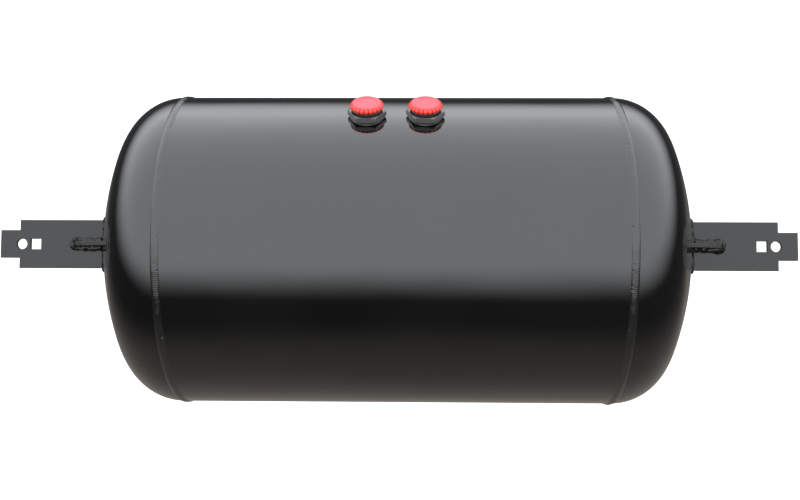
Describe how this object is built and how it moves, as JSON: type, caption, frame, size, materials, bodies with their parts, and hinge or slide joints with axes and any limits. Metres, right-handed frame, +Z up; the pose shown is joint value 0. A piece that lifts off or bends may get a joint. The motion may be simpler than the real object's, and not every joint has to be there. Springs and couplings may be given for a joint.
{
  "type": "air receiver tank",
  "caption": "Horizontal welded steel air tank with dished heads, plugged threaded ports and flat end brackets with bolt holes.",
  "frame": {"origin": "on the tank's axis at mid-length", "axes": "+X along the tank towards the right-hand bracket, +Z up through the inlet ports, -Y towards the side that the brackets face"},
  "size_m": [0.983, 0.3996, 0.434],
  "materials": {
    "tank_paint": "gloss black paint over steel",
    "bracket_paint": "satin dark grey paint over steel",
    "seal_rubber": "matt black rubber",
    "plug_plastic": "glossy red plastic"
  },
  "bodies": {
    "tank": {"shell": "tank_paint", "head_left": "tank_paint", "head_right": "tank_paint", "girth_weld_left": "tank_paint", "girth_weld_right": "tank_paint", "seam_weld": "tank_paint", "boss_left": "tank_paint", "boss_weld_left": "tank_paint", "bush_left": "bracket_paint", "boss_right": "tank_paint", "boss_weld_right": "tank_paint", "bush_right": "bracket_paint", "boss_drain": "tank_paint", "boss_weld_drain": "tank_paint", "bush_drain": "bracket_paint", "bracket_left": "bracket_paint", "bracket_weld_left": "tank_paint", "gusset_left": "tank_paint", "gusset_weld_left": "tank_paint", "bracket_right": "bracket_paint", "bracket_weld_right": "tank_paint", "gusset_right": "tank_paint", "gusset_weld_right": "tank_paint"},
    "ring_left": {"seal_left": "seal_rubber"},
    "cap_left": {"plug_left": "plug_plastic"},
    "ring_right": {"seal_right": "seal_rubber"},
    "cap_right": {"plug_right": "plug_plastic"},
    "ring_drain": {"seal_drain": "seal_rubber"},
    "cap_drain": {"plug_drain": "plug_plastic"}
  },
  "joints": [
    {"name": "lift_left", "type": "slide", "parent": "tank", "child": "ring_left", "axis": [0, 0, 1], "range_m": [0, 0.0121]},
    {"name": "turn_left", "type": "hinge", "parent": "ring_left", "child": "cap_left", "pos_m": [-0.035, 0, 0.2094], "axis": [0, 0, 1], "range_deg": [0, 2880]},
    {"name": "lift_right", "type": "slide", "parent": "tank", "child": "ring_right", "axis": [0, 0, 1], "range_m": [0, 0.0121]},
    {"name": "turn_right", "type": "hinge", "parent": "ring_right", "child": "cap_right", "pos_m": [0.035, 0, 0.2094], "axis": [0, 0, 1], "range_deg": [0, 2880]},
    {"name": "lift_drain", "type": "slide", "parent": "tank", "child": "ring_drain", "axis": [0, 0, -1], "range_m": [0, 0.0121]},
    {"name": "turn_drain", "type": "hinge", "parent": "ring_drain", "child": "cap_drain", "pos_m": [0, 0, -0.2094], "axis": [0, 0, -1], "range_deg": [0, 2880]}
  ],
  "couplings": [
    {"joint": "lift_left", "follows": "turn_left", "m_per_rad": 0.00023873},
    {"joint": "lift_right", "follows": "turn_right", "m_per_rad": 0.00023873},
    {"joint": "lift_drain", "follows": "turn_drain", "m_per_rad": 0.00023873}
  ]
}
